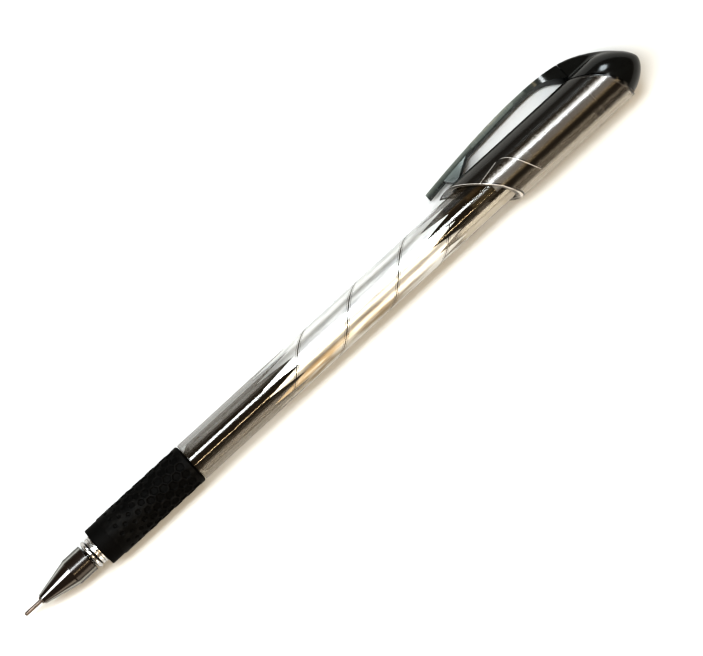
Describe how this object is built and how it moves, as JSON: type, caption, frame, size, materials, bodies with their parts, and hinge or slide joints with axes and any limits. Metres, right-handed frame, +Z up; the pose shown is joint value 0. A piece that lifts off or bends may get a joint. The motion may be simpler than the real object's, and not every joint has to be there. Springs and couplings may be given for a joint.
{
  "type": "ballpoint pen",
  "caption": "Slim stick ballpoint pen with a fine needle tip, a honeycomb rubber grip, a smoky clear barrel and its slanted cap with an arched pocket clip posted on the rear end.",
  "frame": {"origin": "centre of the bounding box on the table that the pen lies on", "axes": "+X from the writing ball towards the cap, +Y towards the side where the clip lies, +Z up from the table"},
  "size_m": [0.1626, 0.0154, 0.0115],
  "materials": {
    "writing_ball": "polished hard metal",
    "needle_pipe": "drawn stainless steel with fine rings",
    "tip_holder": "turned nickel silver",
    "ink_tube": "milky clear polypropylene",
    "ink_column": "black ink paste",
    "grease_follower": "clear yellowish grease",
    "nose_cone": "smoked black polystyrene, polished",
    "bead_ring": "bright plated",
    "grip_collar": "bright plated",
    "rubber_grip": "matt black rubber",
    "barrel": "smoky transparent polystyrene, partly printed in silver",
    "end_plug": "black, satin",
    "cap_sleeve": "smoky transparent polystyrene, polished",
    "cap_head": "black, polished",
    "cap_liner": "natural polyethylene",
    "cap_clip": "black, polished"
  },
  "bodies": {
    "barrel": {"barrel": "barrel", "rubber_grip": "rubber_grip", "grip_collar": "grip_collar", "end_plug": "end_plug", "ink_tube": "ink_tube", "ink_column": "ink_column", "grease_follower": "grease_follower", "tip_holder": "tip_holder", "needle_pipe": "needle_pipe"},
    "ring": {"bead_ring": "bead_ring"},
    "nose": {"nose_cone": "nose_cone"},
    "ball": {"writing_ball": "writing_ball"},
    "cap": {"cap_sleeve": "cap_sleeve", "cap_head": "cap_head", "cap_liner": "cap_liner"},
    "clip": {"cap_clip": "cap_clip"}
  },
  "joints": [
    {"name": "cap_pull", "type": "slide", "parent": "barrel", "child": "cap", "axis": [0.9999, 0, 0.0118], "range_m": [0, 0.04]},
    {"name": "clip_flex", "type": "hinge", "parent": "cap", "child": "clip", "pos_m": [0.06805, 0.00435, 0.00283], "axis": [0.0107, -0.424, -0.9056], "range_deg": [0, 4], "stiffness_Nm_per_rad": 0.12},
    {"name": "nose_travel", "type": "slide", "parent": "barrel", "child": "ring", "axis": [-0.9999, 0, -0.0118], "range_m": [0, 0.0047]},
    {"name": "nose_turn", "type": "hinge", "parent": "ring", "child": "nose", "pos_m": [-0.07125, -0.00217, 0.00424], "axis": [-0.9999, 0, -0.0118], "range_deg": [0, 1692]},
    {"name": "ball_roll", "type": "hinge", "parent": "barrel", "child": "ball", "pos_m": [-0.081, -0.00217, 0.00413], "axis": [-0.0107, 0.424, 0.9056], "continuous": true}
  ],
  "couplings": [
    {"joint": "nose_turn", "follows": "nose_travel", "rad_per_m": 6283.2}
  ]
}
